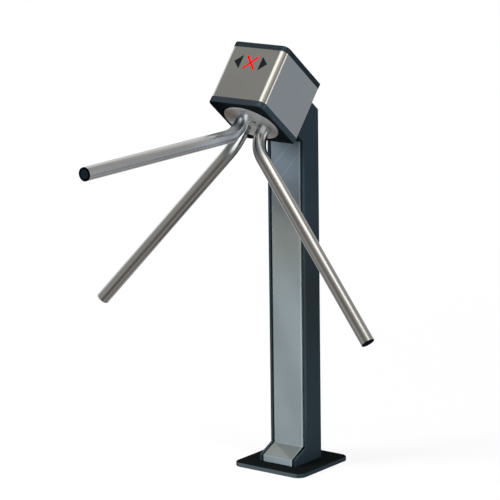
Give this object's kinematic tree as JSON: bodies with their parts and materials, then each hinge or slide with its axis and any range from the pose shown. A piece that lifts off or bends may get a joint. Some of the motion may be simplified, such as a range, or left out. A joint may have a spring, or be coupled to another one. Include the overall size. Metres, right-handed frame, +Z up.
{
  "type": "tripod turnstile",
  "caption": "Tripod turnstile on a floor post: a tilted head with a lit indicator carries a hub with bent tube arms that turn, index home and lock either way.",
  "frame": {"origin": "centre of the anchor bolt pattern on the base plate's underside, at floor level", "axes": "+Z up the post, -Y the way the hub faces and the home arm reaches, +X to the right seen from behind the post"},
  "size_m": [0.803, 0.8479, 1.0394],
  "materials": {
    "base_paint": "satin charcoal paint",
    "post_paint": "satin charcoal blue paint",
    "panel_paint": "satin blue-grey paint",
    "sleeve_steel": "finely ground stainless steel",
    "hub_steel": "turned stainless steel",
    "arm_steel": "polished stainless tube",
    "cap_plastic": "fine moulded dark blue-grey",
    "dark_lens": "smoked lens, unlit",
    "red_lens": "red lens",
    "white_plastic": "light module body",
    "circuit_board": "green solder resist",
    "green_plastic": "moulded",
    "black_plastic": "moulded black",
    "rubber": "black rubber",
    "zinc_steel": "zinc plated steel",
    "black_steel": "black oxide on steel",
    "spring_steel": "hardened spring steel",
    "bearing_steel": "ground bearing steel",
    "cast_aluminium": "cast and turned",
    "brass": "turned brass",
    "copper_winding": "varnished copper wire, wound and taped"
  },
  "bodies": {
    "stand": {"base_plate": "base_paint", "cable_grommet": "rubber", "post_shell": "post_paint", "front_panel": "panel_paint", "panel_rails": "zinc_steel", "panel_clips": "spring_steel", "neck_plate": "post_paint", "neck_flange": "zinc_steel", "head_bolts": "zinc_steel", "head_nuts": "zinc_steel", "head_sleeve": "sleeve_steel", "arrow_lenses": "dark_lens", "cross_lens": "red_lens", "light_modules": "white_plastic", "display_board": "circuit_board", "control_board": "circuit_board", "terminal_block": "green_plastic", "board_relays": "black_plastic", "board_spacers": "brass", "board_screws": "zinc_steel", "front_cap": "cap_plastic", "rear_cap": "cap_plastic", "cap_posts": "zinc_steel", "cap_screws": "black_steel", "chassis": "zinc_steel", "tie_rods": "zinc_steel", "bearing_housings": "cast_aluminium", "housing_screws": "zinc_steel", "bearing_circlips": "spring_steel", "bearing_outer_rings": "bearing_steel", "index_spring": "spring_steel", "index_spring_screws": "zinc_steel", "sensor_bracket": "zinc_steel", "position_sensors": "black_plastic", "solenoid_frames": "zinc_steel", "solenoid_coils": "copper_winding", "pawl_pins": "bearing_steel", "pawl_springs": "spring_steel"},
    "rotor": {"hub": "hub_steel", "hub_screws": "black_steel", "arm_1": "arm_steel", "arm_2": "arm_steel", "arm_3": "arm_steel", "arm_plugs": "black_plastic", "arm_inserts": "zinc_steel", "arm_bolts": "zinc_steel", "main_shaft": "bearing_steel", "shaft_key": "bearing_steel", "shaft_nut": "black_steel", "lock_disc": "black_steel", "index_disc": "black_steel", "sensor_disc": "zinc_steel", "disc_spacers": "zinc_steel", "bearing_inner_rings": "bearing_steel"},
    "ball_set": {"bearing_balls": "bearing_steel"},
    "right_lock": {"right_pawl": "black_steel"},
    "left_lock": {"left_pawl": "black_steel"},
    "right_push": {"right_plunger": "bearing_steel"},
    "left_push": {"left_plunger": "bearing_steel"}
  },
  "joints": [
    {"name": "arms_turn", "type": "hinge", "parent": "stand", "child": "rotor", "pos_m": [0, -0.142, 0.858], "axis": [0, 0.6428, 0.766], "continuous": true, "deforming": ["index_spring"]},
    {"name": "balls_roll", "type": "hinge", "parent": "stand", "child": "ball_set", "pos_m": [0, -0.142, 0.858], "axis": [0, 0.6428, 0.766], "continuous": true},
    {"name": "right_pawl_swing", "type": "hinge", "parent": "stand", "child": "right_lock", "pos_m": [0.046, -0.07958, 0.89505], "axis": [0, 0.6428, 0.766], "range_deg": [-16, 0], "stiffness_Nm_per_rad": 0.2, "springref_deg": 11.46},
    {"name": "left_pawl_swing", "type": "hinge", "parent": "stand", "child": "left_lock", "pos_m": [-0.046, -0.07958, 0.89505], "axis": [0, 0.6428, 0.766], "range_deg": [0, 16], "stiffness_Nm_per_rad": 0.2, "springref_deg": -11.46},
    {"name": "right_plunger_slide", "type": "slide", "parent": "stand", "child": "right_push", "axis": [0, -0.766, 0.6428], "range_m": [0, 0.0034]},
    {"name": "left_plunger_slide", "type": "slide", "parent": "stand", "child": "left_push", "axis": [0, -0.766, 0.6428], "range_m": [0, 0.0034]}
  ],
  "couplings": [
    {"joint": "balls_roll", "follows": "arms_turn", "ratio": 0.39688},
    {"joint": "right_pawl_swing", "follows": "right_plunger_slide", "rad_per_m": -82.133},
    {"joint": "left_pawl_swing", "follows": "left_plunger_slide", "rad_per_m": 82.133}
  ]
}
